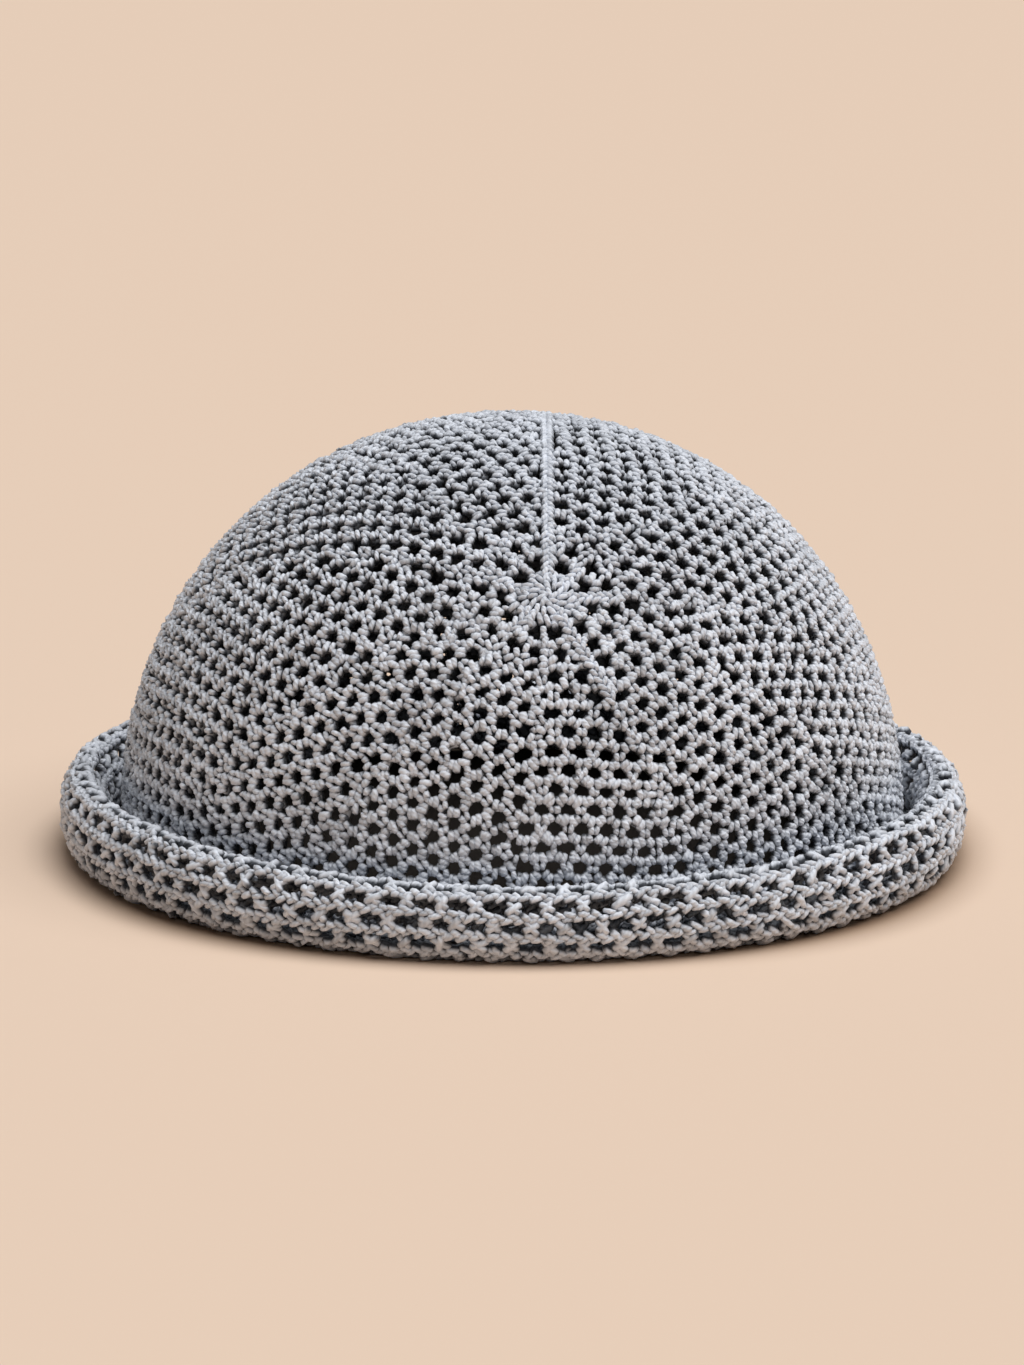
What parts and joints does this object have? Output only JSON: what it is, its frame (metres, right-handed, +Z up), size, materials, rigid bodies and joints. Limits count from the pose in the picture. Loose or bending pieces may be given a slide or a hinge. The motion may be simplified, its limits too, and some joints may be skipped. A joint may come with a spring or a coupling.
{
  "type": "rolled-brim crochet hat",
  "caption": "Openwork crochet hat with a round domed crown, a raised line of joins over the top and a narrow brim rolled up all round.",
  "frame": {"origin": "centre of the hat's plan, on the surface that it stands on", "axes": "+Z up through the crown, -Y to the front, where the crochet starts, +X to the right seen from the front"},
  "size_m": [0.215, 0.215, 0.1044],
  "materials": {
    "crochet_cotton": "matt grey-blue cotton cord in open crochet",
    "dense_stitches": "matt grey-blue cotton cord in close stitches"
  },
  "bodies": {
    "root": {"crown": "crochet_cotton", "start_ring": "dense_stitches", "seam_ridge": "dense_stitches", "brim": "crochet_cotton"}
  },
  "joints": []
}
